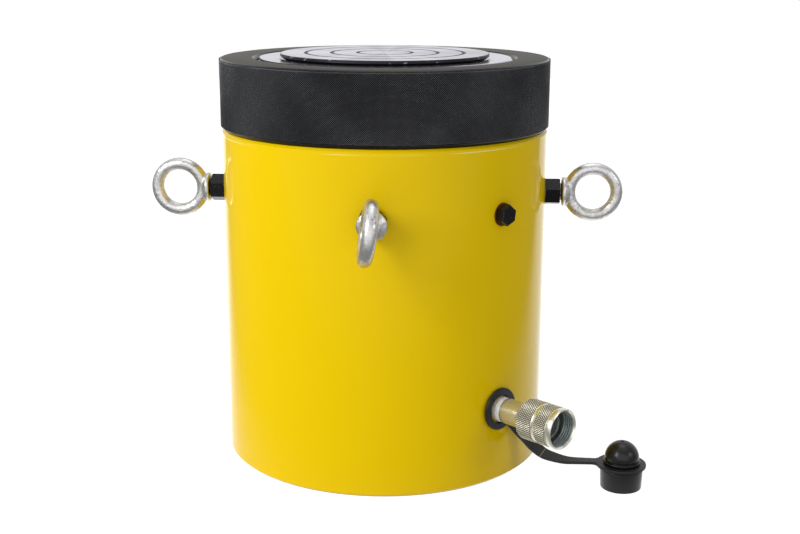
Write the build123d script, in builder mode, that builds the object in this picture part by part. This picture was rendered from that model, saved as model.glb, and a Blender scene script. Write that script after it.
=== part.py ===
# Lock nut hydraulic cylinder: a single-acting, load-return jack of 200 tonnes and 100 mm stroke.
# The plunger is threaded over its length, and a knurled lock nut on it holds the load mechanically.
# Millimetres, +Z up. The origin is on the cylinder's axis, on the face that it stands on.
# Azimuths are in degrees from the front (-Y) towards the right (+X).

import os
from math import cos, radians, sin, sqrt

from build123d import *

os.makedirs("parts", exist_ok=True)

# Cylinder body
body_diameter = 240.0
body_head = 48.8
base_thickness = 48.0
bore_diameter = 190.0
body_top_chamfer = 1.6
body_foot_chamfer = 2.0
bore_floor_radius = 5.0
bore_mouth_chamfer = 1.2

# Trapezoidal thread of the plunger and its nut
thread_pitch = 6.0
thread_crest_gap = 0.3
thread_flank_gap = 0.3

# Lock nut
nut_overhang = 1.0
nut_height = 51.0
nut_seat_gap = 0.3
nut_edge_chamfer = 1.6
nut_mouth_chamfer = 3.8

# Plunger with its piston
floor_gap = 0.3
foot_height = 9.0
foot_relief = 5.0
piston_gap = 0.3
piston_height = 44.0
piston_relief_height = 5.0
piston_relief_depth = 3.0
plunger_top_chamfer = 0.5
plunger_sink = 0.3
stroke = 100.0

# Piston seal, its back-up ring and the two bearing bands
seal_gap = 0.1
seal_height = 9.0
seal_depth = 6.5
seal_offset = 16.0
seal_notch_depth = 4.0
seal_notch_width = 2.6
backup_height = 2.5
band_gap = 0.12
band_height = 8.0
band_depth = 2.5
lower_band_offset = 4.0
upper_band_offset = 32.0
groove_play = 0.2

# Tilting saddle on its spherical seat
saddle_diameter = 153.0
saddle_proud = 3.2
saddle_rim = 2.0
saddle_edge_chamfer = 0.4
seat_radius = 125.0
seat_gap = 0.3
liner_thickness = 0.8
liner_hole_room = 18.0
liner_margin = 15.5
saddle_grooves = (20.0, 39.0, 58.0)
saddle_groove_width = 2.2
saddle_groove_depth = 1.3
spigot_diameter = 24.0
spigot_length = 14.0
spigot_room = 19.5
spigot_floor_gap = 3.5
grip_ring_section = 4.0
grip_ring_height = 5.0

# Lifting eyebolts and their lock nuts
eye_azimuths = {"front": 0.0, "right": 90.0, "rear": 180.0, "left": 270.0}
eye_leans = {"front": 6.5, "right": 0.0, "rear": 0.0, "left": -3.0}
eye_nut_turns = {"front": 12.0, "right": 43.0, "rear": 8.0, "left": 24.5}
eye_rise = 1.2
eye_reach = 35.4
eye_ring_diameter = 35.0
eye_rod_diameter = 9.4
eye_shank_diameter = 12.0
eye_shank_depth = 16.0
eye_collar_diameter = 22.0
eye_collar_height = 2.8
eye_collar_chamfer = 0.9
eye_collar_offset = 12.1
eye_neck_diameter = 11.0
eye_neck_height = 3.2
eye_nut_across_flats = 18.0
eye_nut_height = 10.8
eye_nut_chamfer = 0.7
shank_gap = 0.1
tool_overrun = 1.6

# Vent plug of the stroke-limiting port, with its sealing washer
vent_azimuth = 46.4
vent_margin = 10.6
vent_thread_diameter = 10.0
vent_thread_length = 10.0
vent_hex_across_flats = 13.0
vent_hex_height = 6.0
vent_hex_turn = 22.0
vent_passage_diameter = 3.0
vent_washer_diameter = 16.0
vent_washer_thickness = 1.2
vent_spotface_depth = 0.8
vent_spotface_room = 0.3

# Oil port and the coupler's body
port_azimuth = 47.2
port_height = 54.0
port_thread_diameter = 17.0
port_thread_depth = 15.0
port_passage_diameter = 5.0
coupler_stub_length = 6.8
coupler_neck_diameter = 18.2
coupler_flats_across = 16.4
coupler_flats_start = 9.5
coupler_flats_length = 9.0
coupler_flange_start = 34.0
coupler_flange_thickness = 3.5
coupler_flange_diameter = 22.4
coupler_nose_diameter = 19.6
coupler_nose_length = 46.5
coupler_oilway_diameter = 6.0
valve_chamber_diameter = 12.8
seat_ring_thickness = 5.0
seat_ring_diameter = 15.2
seat_ring_hole = 9.0
seat_ring_cone = 1.2
nose_seal_section = 1.8
nose_seal_offset = 2.6
tape_thickness = 0.3
tape_start = 0.3

# Coupler's poppet valve and its spring
valve_head_thickness = 3.0
valve_head_gap = 0.3
valve_face_recess = 0.6
valve_stem_gap = 0.3
valve_tail_diameter = 4.6
valve_tail_length = 8.0
valve_travel = 3.0
valve_tail_room = 3.2
spring_wire = 1.1
spring_turns = 5.0
spring_gap = 0.15

# Coupler's knurled collar
collar_start = 20.7
collar_end = 57.6
collar_diameter = 29.2
collar_bore_gap = 0.15
collar_rear_diameter = 20.4
collar_cone_length = 6.8
collar_groove_start = 39.9
collar_groove_width = 2.8
collar_groove_depth = 0.7
collar_lip_groove_start = 52.2
collar_lip_groove_width = 1.6
collar_lip_groove_depth = 0.9
collar_lip_chamfer = 0.7
collar_flange_gap = 0.3
collar_cavity_diameter = 24.8
collar_thread_diameter = 23.8
collar_thread_start = 47.6
collar_mouth_chamfer = 1.7

# Dust cap, which stands on the floor beside the coupler
cap_radial = 68.8
cap_sideways = 53.6
cap_skirt_diameter = 29.8
cap_foot_diameter = 28.8
cap_skirt_height = 14.8
cap_foot_chamfer = 0.8
cap_waist_diameter = 22.8
cap_waist_height = 2.6
cap_lip_diameter = 25.0
cap_lip_height = 1.4
cap_lip_groove = 0.9
cap_dome_diameter = 23.9
cap_dome_wall_height = 2.8
cap_nub_diameter = 1.8
cap_nub_height = 0.5
cap_wall = 2.3
cap_crown_thickness = 2.2

# Moulded rubber strap between the coupler's neck and the cap
strap_ring_diameter = 30.0
strap_ring_thickness = 3.2
strap_ring_gap = 0.3
strap_width = 8.6
strap_thickness = 2.0
loop_diameter = 35.2
loop_gap = 0.3
loop_tab_reach = 20.0
loop_tab_fillet = 4.0
loop_slit_length = 4.2
loop_slit_width = 0.8
loop_slit_reach = 16.2
# The strap's middle line: distance out from the body's wall, distance sideways from the port,
# share of the drop from the port to the cap's loop that is still to go, and how far the band
# has turned from standing against the wall (0) to lying flat (1).
strap_route = [
    (1.9, 6.2, 0.755, 0.0),
    (2.3, 10.3, 0.590, 0.0),
    (4.3, 14.8, 0.411, 0.05),
    (8.5, 19.5, 0.260, 0.20),
    (13.5, 22.8, 0.150, 0.40),
    (20.0, 25.7, 0.075, 0.60),
    (27.0, 28.5, 0.025, 0.80),
    (35.3, 32.5, 0.0, 0.95),
    (42.6, 36.5, 0.0, 1.0),
]

body_radius = body_diameter / 2
bore_radius = bore_diameter / 2
nut_radius = body_radius + nut_overhang
plunger_bottom = base_thickness + floor_gap
piston_bottom = plunger_bottom + foot_height
piston_top = piston_bottom + piston_height
lower_band_z = piston_bottom + lower_band_offset
seal_z = piston_bottom + seal_offset
backup_z = seal_z + seal_height
upper_band_z = piston_bottom + upper_band_offset
# The vent port opens just above the seal at full stroke
vent_height = backup_z + backup_height + stroke + vent_margin
eye_height = vent_height + eye_rise
body_height = vent_height + body_head
nut_bottom = body_height + nut_seat_gap
nut_top = nut_bottom + nut_height
plunger_top = nut_top - plunger_sink
thread_major_radius = bore_radius - thread_crest_gap
thread_pitch_radius = thread_major_radius - thread_pitch / 4
plunger_radius = thread_pitch_radius - thread_flank_gap / 2
nut_bore_radius = thread_pitch_radius + thread_flank_gap / 2


def radial_plane(azimuth, height, radius):
    """Plane whose Z points out of the body, X sideways (clockwise from above) and Y up."""
    angle = radians(azimuth)
    outward = Vector(sin(angle), -cos(angle), 0)
    sideways = Vector(cos(angle), sin(angle), 0)
    return Plane(origin=outward * radius + Vector(0, 0, height), x_dir=sideways, z_dir=outward)


def turning_plane(seat):
    """Plane for half a turned outline: X is the radius, Y the way out along the seat's axis."""
    return Plane(origin=seat.origin, x_dir=seat.x_dir, z_dir=-seat.y_dir)


def outline(points, plane=Plane.XZ):
    """A closed outline through points on a plane, as a face."""
    with BuildSketch(plane) as drawn:
        with BuildLine():
            Polyline(*points, close=True)
        make_face()
    return drawn.sketch


def box_outline(inner, outer, low, high):
    """Corners of a rectangle between two radii and two heights."""
    return [(inner, low), (outer, low), (outer, high), (inner, high)]


def hexagon(seat, across_flats, turn):
    """A hexagon face on a seat, with a corner at turn degrees from the seat's X."""
    with BuildSketch(seat) as drawn:
        RegularPolygon(across_flats / 2, 6, major_radius=False, rotation=turn)
    return drawn.sketch


def save(part, name):
    """Label a finished piece and write it to its own file."""
    part.label = name
    export_step(part, f"parts/{name}.step")


# Cylinder body: one forging with a closed bottom, a bored chamber and radial holes
port_seat = radial_plane(port_azimuth, port_height, body_radius)
port_axis = Axis(port_seat.origin, port_seat.z_dir)
vent_seat = radial_plane(vent_azimuth, vent_height, body_radius)
vent_face = radial_plane(vent_azimuth, vent_height, body_radius - vent_spotface_depth)
wall = body_radius - bore_radius
eye_seats = {
    side: radial_plane(azimuth, eye_height, body_radius) for side, azimuth in eye_azimuths.items()
}


def bore_from(seat, radius, depth):
    """A round tool that runs from outside a seat to a depth behind it."""
    with BuildPart() as tool:
        with BuildSketch(seat.offset(tool_overrun)):
            Circle(radius)
        extrude(amount=-(depth + tool_overrun))
    return tool.part


with BuildPart() as cylinder_body:
    with BuildSketch():
        Circle(body_radius)
    extrude(amount=body_height)
    outer_top = cylinder_body.edges().filter_by(GeomType.CIRCLE).sort_by(Axis.Z)[-1]
    chamfer(outer_top, body_top_chamfer)
    outer_foot = cylinder_body.edges().filter_by(GeomType.CIRCLE).sort_by(Axis.Z)[0]
    chamfer(outer_foot, body_foot_chamfer)
    with BuildSketch(Plane.XY.offset(base_thickness)):
        Circle(bore_radius)
    extrude(amount=body_height, mode=Mode.SUBTRACT)
    bore_floor = cylinder_body.edges().filter_by(GeomType.CIRCLE).filter_by_position(
        Axis.Z, base_thickness, base_thickness
    )
    fillet(bore_floor, bore_floor_radius)
    bore_mouth = cylinder_body.edges().filter_by(GeomType.CIRCLE).filter_by_position(
        Axis.Z, body_height, body_height
    )
    chamfer(bore_mouth.sort_by(SortBy.RADIUS)[0], bore_mouth_chamfer)
    add(bore_from(port_seat, port_thread_diameter / 2 + shank_gap, port_thread_depth), mode=Mode.SUBTRACT)
    add(bore_from(port_seat, port_passage_diameter / 2, wall + foot_relief), mode=Mode.SUBTRACT)
    add(
        bore_from(vent_face, vent_thread_diameter / 2 + shank_gap, vent_thread_length),
        mode=Mode.SUBTRACT,
    )
    add(
        bore_from(vent_face, vent_washer_diameter / 2 + vent_spotface_room, 0),
        mode=Mode.SUBTRACT,
    )
    add(bore_from(vent_seat, vent_passage_diameter / 2, wall + piston_gap), mode=Mode.SUBTRACT)
    for seat in eye_seats.values():
        add(bore_from(seat, eye_shank_diameter / 2 + shank_gap, eye_shank_depth), mode=Mode.SUBTRACT)
save(cylinder_body.part, "cylinder_body")

# Lock nut: a knurled ring that turns down the plunger's thread onto the body's top face
with BuildPart() as lock_nut:
    revolve(
        outline(
            [
                (nut_bore_radius + nut_edge_chamfer, nut_bottom),
                (nut_radius - nut_edge_chamfer, nut_bottom),
                (nut_radius, nut_bottom + nut_edge_chamfer),
                (nut_radius, nut_top - nut_edge_chamfer),
                (nut_radius - nut_edge_chamfer, nut_top),
                (nut_bore_radius + nut_mouth_chamfer, nut_top),
                (nut_bore_radius, nut_top - nut_mouth_chamfer),
                (nut_bore_radius, nut_bottom + nut_edge_chamfer),
            ]
        ),
        axis=Axis.Z,
    )
save(lock_nut.part, "lock_nut")

# Plunger: piston below, threaded above, with a spherical seat in its top for the saddle
saddle_radius = saddle_diameter / 2
rim_bottom = plunger_top + saddle_proud - saddle_rim
liner_outer = seat_radius - seat_gap
liner_inner = liner_outer - liner_thickness
ball_radius = liner_inner - seat_gap
seat_centre_z = rim_bottom + sqrt(ball_radius**2 - saddle_radius**2)
seat_centre = (0, 0, seat_centre_z)
seat_bottom_z = seat_centre_z - seat_radius
foot_radius = bore_radius - foot_relief
piston_radius = bore_radius - piston_gap
recess_radius = spigot_diameter / 2 + spigot_room
recess_floor_z = seat_bottom_z - spigot_length - spigot_floor_gap

with BuildPart() as plunger:
    relief_radius = plunger_radius - piston_relief_depth
    relief_top = piston_top + piston_relief_height
    revolve(
        outline(
            [
                (0, plunger_bottom),
                (foot_radius - foot_relief, plunger_bottom),
                (foot_radius, plunger_bottom + foot_relief),
                (foot_radius, piston_bottom),
                (piston_radius, piston_bottom),
                (piston_radius, piston_top),
                (relief_radius, piston_top),
                (relief_radius, relief_top),
                (plunger_radius, relief_top + piston_relief_depth),
                (plunger_radius, plunger_top - plunger_top_chamfer),
                (plunger_radius - plunger_top_chamfer, plunger_top),
                (0, plunger_top),
            ]
        ),
        axis=Axis.Z,
    )
    with Locations(seat_centre):
        Sphere(seat_radius, mode=Mode.SUBTRACT)
    with BuildSketch(Plane.XY.offset(recess_floor_z)):
        Circle(recess_radius)
    extrude(amount=plunger_top - recess_floor_z, mode=Mode.SUBTRACT)
    for groove_z, groove_height, groove_depth in (
        (lower_band_z, band_height, band_depth),
        (seal_z, seal_height + backup_height, seal_depth),
        (upper_band_z, band_height, band_depth),
    ):
        revolve(
            outline(
                box_outline(
                    bore_radius - groove_depth,
                    bore_radius,
                    groove_z - groove_play,
                    groove_z + groove_height + groove_play,
                )
            ),
            axis=Axis.Z,
            mode=Mode.SUBTRACT,
        )
save(plunger.part, "plunger")

# Rings of the piston: two bearing bands, the U-cup seal and its back-up ring
for name, band_z in (("lower_bearing_band", lower_band_z), ("upper_bearing_band", upper_band_z)):
    with BuildPart() as bearing_band:
        revolve(
            outline(
                box_outline(
                    bore_radius - band_depth + groove_play,
                    bore_radius - band_gap,
                    band_z,
                    band_z + band_height,
                )
            ),
            axis=Axis.Z,
        )
    save(bearing_band.part, name)

seal_inner = bore_radius - seal_depth + groove_play
seal_outer = bore_radius - seal_gap
seal_middle = (seal_inner + seal_outer) / 2

with BuildPart() as piston_seal:
    revolve(
        outline(
            [
                (seal_inner, seal_z),
                (seal_middle - seal_notch_width / 2, seal_z),
                (seal_middle, seal_z + seal_notch_depth),
                (seal_middle + seal_notch_width / 2, seal_z),
                (seal_outer, seal_z),
                (seal_outer, seal_z + seal_height),
                (seal_inner, seal_z + seal_height),
            ]
        ),
        axis=Axis.Z,
    )
save(piston_seal.part, "piston_seal")

with BuildPart() as seal_backup_ring:
    revolve(
        outline(box_outline(seal_inner, seal_outer - seal_gap, backup_z, backup_z + backup_height)),
        axis=Axis.Z,
    )
save(seal_backup_ring.part, "seal_backup_ring")

# Saddle: a disc with a ball-shaped underside and a spigot, and three grooves in its top face
saddle_top = plunger_top + saddle_proud
spigot_radius = spigot_diameter / 2
spigot_end_z = seat_bottom_z - spigot_length
grip_ring_z = spigot_end_z + grip_ring_height

with BuildPart() as saddle:
    with Locations(seat_centre):
        Sphere(ball_radius)
    with BuildSketch(Plane.XY.offset(saddle_top)):
        Circle(saddle_radius)
    extrude(amount=-(saddle_top - seat_bottom_z), mode=Mode.INTERSECT)
    with BuildSketch(Plane.XY.offset(spigot_end_z)):
        Circle(spigot_radius)
    extrude(amount=plunger_top - spigot_end_z)
    revolve(
        outline(
            box_outline(
                spigot_radius - grip_ring_section / 2,
                spigot_radius + grip_ring_section,
                grip_ring_z - grip_ring_section / 2,
                grip_ring_z + grip_ring_section / 2,
            )
        ),
        axis=Axis.Z,
        mode=Mode.SUBTRACT,
    )
    for groove_radius in saddle_grooves:
        revolve(
            outline(
                [
                    (groove_radius - saddle_groove_width / 2, saddle_top),
                    (groove_radius, saddle_top - saddle_groove_depth),
                    (groove_radius + saddle_groove_width / 2, saddle_top),
                ]
            ),
            axis=Axis.Z,
            mode=Mode.SUBTRACT,
        )
    top_rim = saddle.edges().filter_by(GeomType.CIRCLE).filter_by_position(
        Axis.Z, saddle_top, saddle_top
    )
    chamfer(top_rim.sort_by(SortBy.RADIUS)[-1], saddle_edge_chamfer)
save(saddle.part, "saddle")

with BuildPart() as saddle_grip_ring:
    with Locations((0, 0, grip_ring_z)):
        Torus(spigot_radius + groove_play, grip_ring_section / 2 - groove_play)
save(saddle_grip_ring.part, "saddle_grip_ring")

# Sliding liner: a thin dished ring of bearing metal between the saddle and the plunger's seat
with BuildPart() as saddle_seat_liner:
    with BuildSketch(Plane.XY.offset(recess_floor_z)):
        Circle(saddle_radius - liner_margin)
        Circle(spigot_radius + liner_hole_room, mode=Mode.SUBTRACT)
    extrude(amount=plunger_top - recess_floor_z)
    with Locations(seat_centre):
        Sphere(liner_outer, mode=Mode.INTERSECT)
        Sphere(liner_inner, mode=Mode.SUBTRACT)
save(saddle_seat_liner.part, "saddle_seat_liner")

# Lifting eyebolts, screwed radially into the body and locked with a nut
ring_radius = eye_ring_diameter / 2
rod_radius = eye_rod_diameter / 2
collar_top = eye_collar_offset + eye_collar_height
eye_collar_radius = eye_collar_diameter / 2
eye_shank_radius = eye_shank_diameter / 2

for side, seat in eye_seats.items():
    leaned = seat.rotated((0, 0, eye_leans[side]))
    eye_axis = Axis(seat.origin, seat.z_dir)
    ring_centre = seat.from_local_coords(Vector(0, 0, eye_reach))
    with BuildPart() as eyebolt:
        revolve(
            outline(
                [
                    (0, -eye_shank_depth + shank_gap),
                    (eye_shank_radius, -eye_shank_depth + shank_gap),
                    (eye_shank_radius, eye_collar_offset),
                    (eye_collar_radius - eye_collar_chamfer, eye_collar_offset),
                    (eye_collar_radius, eye_collar_offset + eye_collar_chamfer),
                    (eye_collar_radius, collar_top),
                    (eye_neck_diameter / 2, collar_top + eye_neck_height),
                    (0, collar_top + eye_neck_height),
                ],
                turning_plane(seat),
            ),
            axis=eye_axis,
        )
        with BuildSketch(Plane(origin=ring_centre, x_dir=leaned.z_dir, z_dir=leaned.y_dir)):
            with Locations((ring_radius, 0)):
                Circle(rod_radius)
        revolve(axis=Axis(ring_centre, leaned.x_dir))
    save(eyebolt.part, f"eyebolt_{side}")

    with BuildPart() as eyebolt_nut:
        extrude(hexagon(seat, eye_nut_across_flats, eye_nut_turns[side]), amount=eye_nut_height)
        corner_radius = eye_nut_across_flats / sqrt(3)
        revolve(
            outline(
                [
                    (0, 0),
                    (corner_radius - eye_nut_chamfer, 0),
                    (corner_radius, eye_nut_chamfer),
                    (corner_radius, eye_nut_height - eye_nut_chamfer),
                    (corner_radius - eye_nut_chamfer, eye_nut_height),
                    (0, eye_nut_height),
                ],
                turning_plane(seat),
            ),
            axis=eye_axis,
            mode=Mode.INTERSECT,
        )
        nut_face = seat.offset(eye_nut_height)
        add(bore_from(nut_face, eye_shank_radius + shank_gap, eye_nut_height), mode=Mode.SUBTRACT)
    save(eyebolt_nut.part, f"eyebolt_nut_{side}")

# Vent plug and its sealing washer, on a spot face
vent_axis = Axis(vent_face.origin, vent_face.z_dir)
vent_shank_radius = vent_thread_diameter / 2
with BuildPart() as vent_plug:
    with BuildSketch(vent_face.offset(vent_washer_thickness)):
        Circle(vent_shank_radius)
    extrude(amount=-(vent_washer_thickness + vent_thread_length - shank_gap))
    extrude(
        hexagon(vent_face.offset(vent_washer_thickness), vent_hex_across_flats, vent_hex_turn),
        amount=vent_hex_height,
    )
    hex_face = vent_plug.faces().sort_by(vent_axis)[-1]
    chamfer(hex_face.edges(), eye_nut_chamfer)
save(vent_plug.part, "vent_plug")

with BuildPart() as vent_washer:
    revolve(
        outline(
            box_outline(vent_shank_radius + shank_gap, vent_washer_diameter / 2, 0, vent_washer_thickness),
            turning_plane(vent_face),
        ),
        axis=vent_axis,
    )
save(vent_washer.part, "vent_washer")

# Coupler body: thread stub, neck with two wrench flats, retaining flange and valve nose
coupler_outline_plane = turning_plane(port_seat)
stub_radius = port_thread_diameter / 2
neck_radius = coupler_neck_diameter / 2
flange_radius = coupler_flange_diameter / 2
flange_end = coupler_flange_start + coupler_flange_thickness
nose_radius = coupler_nose_diameter / 2
chamber_radius = valve_chamber_diameter / 2
chamber_end = coupler_nose_length - seat_ring_thickness
valve_head_front = chamber_end - valve_head_gap
valve_head_back = valve_head_front - valve_head_thickness
valve_tail_end = valve_head_back - valve_tail_length
valve_chamber_start = valve_tail_end - valve_travel - valve_tail_room
nose_seal_z = coupler_nose_length - nose_seal_offset
nose_seal_radius = nose_seal_section / 2

with BuildPart() as coupler_body:
    revolve(
        outline(
            [
                (0, -port_thread_depth + shank_gap),
                (stub_radius, -port_thread_depth + shank_gap),
                (stub_radius, coupler_stub_length),
                (neck_radius, coupler_stub_length),
                (neck_radius, coupler_flange_start),
                (flange_radius, coupler_flange_start),
                (flange_radius, flange_end),
                (nose_radius, flange_end),
                (nose_radius, coupler_nose_length),
                (0, coupler_nose_length),
            ],
            coupler_outline_plane,
        ),
        axis=port_axis,
    )
    revolve(
        outline(
            [
                (0, -port_thread_depth),
                (coupler_oilway_diameter / 2, -port_thread_depth),
                (coupler_oilway_diameter / 2, valve_chamber_start),
                (chamber_radius, valve_chamber_start),
                (chamber_radius, chamber_end),
                (seat_ring_diameter / 2, chamber_end),
                (seat_ring_diameter / 2, coupler_nose_length),
                (0, coupler_nose_length),
            ],
            coupler_outline_plane,
        ),
        axis=port_axis,
        mode=Mode.SUBTRACT,
    )
    revolve(
        outline(
            box_outline(
                nose_radius - nose_seal_radius - groove_play,
                nose_radius + nose_seal_radius,
                nose_seal_z - nose_seal_radius - groove_play,
                nose_seal_z + nose_seal_radius + groove_play,
            ),
            coupler_outline_plane,
        ),
        axis=port_axis,
        mode=Mode.SUBTRACT,
    )
    flat_centre = coupler_flats_across / 2 + neck_radius / 2
    with BuildSketch(port_seat.offset(coupler_flats_start)):
        with Locations((0, flat_centre), (0, -flat_centre)):
            Rectangle(coupler_neck_diameter, neck_radius)
    extrude(amount=coupler_flats_length, mode=Mode.SUBTRACT)
save(coupler_body.part, "coupler_body")

with BuildPart() as thread_tape:
    revolve(
        outline(
            box_outline(
                stub_radius, stub_radius + tape_thickness, tape_start, coupler_stub_length
            ),
            coupler_outline_plane,
        ),
        axis=port_axis,
    )
save(thread_tape.part, "thread_tape")

with BuildPart() as coupler_seat_ring:
    revolve(
        outline(
            [
                (seat_ring_hole / 2 + seat_ring_cone, chamber_end),
                (seat_ring_diameter / 2, chamber_end),
                (seat_ring_diameter / 2, coupler_nose_length),
                (seat_ring_hole / 2, coupler_nose_length),
                (seat_ring_hole / 2, chamber_end + seat_ring_cone),
            ],
            coupler_outline_plane,
        ),
        axis=port_axis,
    )
save(coupler_seat_ring.part, "coupler_seat_ring")

with BuildPart() as coupler_nose_seal:
    with BuildSketch(coupler_outline_plane):
        with Locations((nose_radius, nose_seal_z)):
            Circle(nose_seal_radius)
    revolve(axis=port_axis)
save(coupler_nose_seal.part, "coupler_nose_seal")

# Poppet valve, pushed inwards by the mating half against its spring
valve_stem_radius = seat_ring_hole / 2 - valve_stem_gap
valve_head_radius = chamber_radius - valve_head_gap

with BuildPart() as coupler_valve:
    revolve(
        outline(
            [
                (0, valve_tail_end),
                (valve_tail_diameter / 2, valve_tail_end),
                (valve_tail_diameter / 2, valve_head_back),
                (valve_head_radius, valve_head_back),
                (valve_head_radius, valve_head_front),
                (valve_stem_radius + seat_ring_cone, valve_head_front),
                (valve_stem_radius, valve_head_front + seat_ring_cone),
                (valve_stem_radius, coupler_nose_length - valve_face_recess),
                (0, coupler_nose_length - valve_face_recess),
            ],
            coupler_outline_plane,
        ),
        axis=port_axis,
    )
save(coupler_valve.part, "coupler_valve")

spring_start = valve_chamber_start + spring_wire / 2 + spring_gap
spring_length = valve_head_back - spring_gap - spring_wire / 2 - spring_start
spring_radius = (chamber_radius + valve_tail_diameter / 2) / 2
spring_seat = port_seat.offset(spring_start)

with BuildPart() as valve_spring:
    with BuildLine() as spring_line:
        Helix(
            pitch=spring_length / spring_turns,
            height=spring_length,
            radius=spring_radius,
            center=spring_seat.origin,
            direction=spring_seat.z_dir,
        )
    with BuildSketch(Plane(origin=spring_line.line @ 0, z_dir=spring_line.line % 0)):
        Circle(spring_wire / 2)
    sweep(path=spring_line.line, is_frenet=True)
save(valve_spring.part, "valve_spring")

# Collar: a knurled sleeve that spins on the neck, with a threaded mouth for the mating half
collar_radius = collar_diameter / 2
collar_bore_radius = neck_radius + collar_bore_gap
cavity_start = coupler_flange_start - collar_flange_gap
mouth_radius = collar_thread_diameter / 2
groove_end = collar_groove_start + collar_groove_width
lip_groove_end = collar_lip_groove_start + collar_lip_groove_width

with BuildPart() as coupler_collar:
    revolve(
        outline(
            [
                (collar_bore_radius, collar_start),
                (collar_rear_diameter / 2, collar_start),
                (collar_radius, collar_start + collar_cone_length),
                (collar_radius, collar_groove_start),
                (collar_radius - collar_groove_depth, collar_groove_start),
                (collar_radius - collar_groove_depth, groove_end),
                (collar_radius, groove_end),
                (collar_radius, collar_lip_groove_start),
                (collar_radius - collar_lip_groove_depth, collar_lip_groove_start),
                (collar_radius - collar_lip_groove_depth, lip_groove_end),
                (collar_radius, lip_groove_end),
                (collar_radius, collar_end - collar_lip_chamfer),
                (collar_radius - collar_lip_chamfer, collar_end),
                (mouth_radius + collar_mouth_chamfer, collar_end),
                (mouth_radius, collar_end - collar_mouth_chamfer),
                (mouth_radius, collar_thread_start),
                (collar_cavity_diameter / 2, collar_thread_start),
                (collar_cavity_diameter / 2, cavity_start),
                (collar_bore_radius, cavity_start),
            ],
            coupler_outline_plane,
        ),
        axis=port_axis,
    )
save(coupler_collar.part, "coupler_collar")

# Dust cap: skirt, waist for the strap's loop, and a hollow domed crown
cap_centre = port_seat.from_local_coords(Vector(cap_sideways, -port_height, cap_radial))
cap_plane = Plane(origin=cap_centre, x_dir=port_seat.x_dir, z_dir=(0, 0, 1))
cap_axis = Axis(cap_centre, (0, 0, 1))
cap_outline_plane = Plane(origin=cap_centre, x_dir=port_seat.x_dir, z_dir=-cap_plane.y_dir)
skirt_radius = cap_skirt_diameter / 2
foot_corner_radius = cap_foot_diameter / 2
waist_radius = cap_waist_diameter / 2
waist_top = cap_skirt_height + cap_waist_height
lip_top = waist_top + cap_lip_height
dome_radius = cap_dome_diameter / 2
dome_start = lip_top + cap_lip_groove
dome_spring = dome_start + cap_dome_wall_height
crown_radius = dome_radius - cap_crown_thickness
cap_hollow_radius = foot_corner_radius - cap_wall
hollow_shoulder = cap_skirt_height - cap_wall

with BuildPart() as dust_cap:
    with BuildSketch(cap_outline_plane):
        with BuildLine():
            Polyline(
                (0, 0),
                (foot_corner_radius - cap_foot_chamfer, 0),
                (foot_corner_radius, cap_foot_chamfer),
                (skirt_radius, cap_skirt_height - cap_foot_chamfer),
                (skirt_radius - cap_foot_chamfer, cap_skirt_height),
                (waist_radius, cap_skirt_height),
                (waist_radius, waist_top),
                (cap_lip_diameter / 2, waist_top),
                (cap_lip_diameter / 2, lip_top),
                (waist_radius, lip_top),
                (waist_radius, dome_start),
                (dome_radius, dome_start),
                (dome_radius, dome_spring),
            )
            RadiusArc((dome_radius, dome_spring), (0, dome_spring + dome_radius), -dome_radius)
            Line((0, dome_spring + dome_radius), (0, 0))
        make_face()
    revolve(axis=cap_axis)
    with BuildSketch(cap_plane.offset(dome_spring + dome_radius - cap_crown_thickness / 2)):
        Circle(cap_nub_diameter / 2)
    extrude(amount=cap_crown_thickness / 2 + cap_nub_height)
    with BuildSketch(cap_outline_plane):
        with BuildLine():
            Polyline(
                (0, 0),
                (cap_hollow_radius, 0),
                (cap_hollow_radius, hollow_shoulder),
                (waist_radius - cap_wall, hollow_shoulder),
                (waist_radius - cap_wall, dome_spring),
            )
            RadiusArc(
                (waist_radius - cap_wall, dome_spring),
                (0, dome_spring + waist_radius - cap_wall),
                -(waist_radius - cap_wall),
            )
            Line((0, dome_spring + waist_radius - cap_wall), (0, 0))
        make_face()
    revolve(axis=cap_axis, mode=Mode.SUBTRACT)
save(dust_cap.part, "dust_cap")

# Strap: a flat ring round the coupler's neck and a band that twists down to the cap's loop
loop_bottom = cap_skirt_height + (cap_waist_height - strap_thickness) / 2
loop_middle = loop_bottom + strap_thickness / 2
outward = port_seat.z_dir
upward = Vector(0, 0, 1)


def strap_point(out, aside, share):
    """A point of the strap's middle line, from its distances to the wall, the port and the loop."""
    height = loop_middle + (port_height - loop_middle) * share
    return port_seat.from_local_coords(Vector(aside, height - port_height, out))


last_point = strap_point(*strap_route[-1][:3])
loop_centre = cap_centre + upward * loop_middle
tab_direction = (loop_centre - last_point).normalized()
tab_end = loop_centre - tab_direction * loop_tab_reach
band_points = [strap_point(out, aside, share) for out, aside, share, _ in strap_route] + [tab_end]
band_turns = [turn for _, _, _, turn in strap_route] + [1.0]
band_ways = (
    [band_points[1] - band_points[0]]
    + [after - before for before, after in zip(band_points, band_points[2:])]
    + [tab_direction]
)
strap_clearance = strap_ring_gap + tape_thickness

with BuildPart() as cap_strap:
    for point, turn, way in zip(band_points, band_turns, band_ways):
        face_out = outward * (1 - turn) + upward * turn
        with BuildSketch(Plane(origin=point, x_dir=way.cross(face_out), z_dir=way)):
            Rectangle(strap_width, strap_thickness)
    loft()
    with BuildSketch(port_seat.offset(strap_ring_gap)):
        Circle(strap_ring_diameter / 2)
    extrude(amount=strap_ring_thickness)
    with BuildSketch(port_seat.offset(strap_ring_gap)):
        Circle(stub_radius + strap_clearance)
    extrude(amount=strap_ring_thickness, both=True, mode=Mode.SUBTRACT)
save(cap_strap.part, "cap_strap")

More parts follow.
